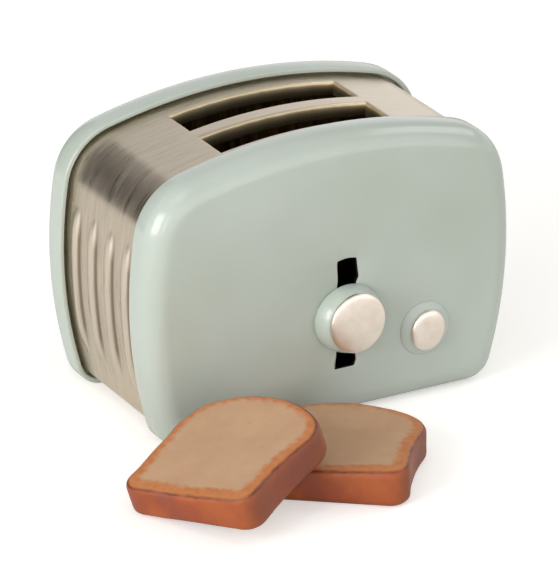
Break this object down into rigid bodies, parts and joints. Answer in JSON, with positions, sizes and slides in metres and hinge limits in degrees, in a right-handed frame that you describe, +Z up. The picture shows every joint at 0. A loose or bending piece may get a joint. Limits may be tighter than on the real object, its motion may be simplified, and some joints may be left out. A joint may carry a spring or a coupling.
{
  "type": "toy toaster",
  "caption": "Toy toaster: two enamelled shells around a ribbed steel band with bread slots, a sliding lever knob, a small dial, and loose slices of toast lying in front.",
  "frame": {"origin": "middle of the flat underside, on the surface that the toaster stands on", "axes": "+X to the right seen from the front, +Y to the back, +Z up; the lever and the dial face -Y"},
  "size_m": [0.0658, 0.0604, 0.0404],
  "materials": {
    "mint_enamel": "gloss enamel",
    "band_steel": "brushed, lightly polished",
    "inner_steel": "plain rolled",
    "cap_metal": "satin",
    "brass": "turned",
    "screw_steel": "zinc plated",
    "nylon": "plain",
    "toast_resin": "painted, satin varnish"
  },
  "bodies": {
    "toaster": {"front_shell": "mint_enamel", "rear_shell": "mint_enamel", "centre_band": "band_steel", "base_plate": "inner_steel", "base_screws": "screw_steel", "tie_screws": "screw_steel", "front_well": "inner_steel", "rear_well": "inner_steel", "guide_post_left": "screw_steel", "guide_post_right": "screw_steel"},
    "lever_set": {"carriage": "inner_steel", "carriage_bush_left": "brass", "carriage_bush_right": "brass", "lever_knob": "mint_enamel", "lever_cap": "cap_metal", "lever_screw": "screw_steel", "friction_washer": "nylon"},
    "dial": {"dial_base": "mint_enamel", "dial_cap": "cap_metal", "dial_washer": "nylon", "dial_push_nut": "screw_steel"},
    "lower_slice": {"lower_slice": "toast_resin"},
    "upper_slice": {"upper_slice": "toast_resin"}
  },
  "joints": [
    {"name": "lever_slide", "type": "slide", "parent": "toaster", "child": "lever_set", "axis": [0, 0, 1], "range_m": [-0.0059, 0.0066]},
    {"name": "dial_turn", "type": "hinge", "parent": "toaster", "child": "dial", "pos_m": [0.0138, 0, 0.0104], "axis": [0, -1, 0], "continuous": true},
    {"name": "lower_slice_lift", "type": "slide", "parent": "toaster", "child": "lower_slice", "axis": [0, 0, 1], "range_m": [0, 0.05]},
    {"name": "upper_slice_lift", "type": "slide", "parent": "lower_slice", "child": "upper_slice", "axis": [0, 0, 1], "range_m": [0, 0.05]}
  ]
}
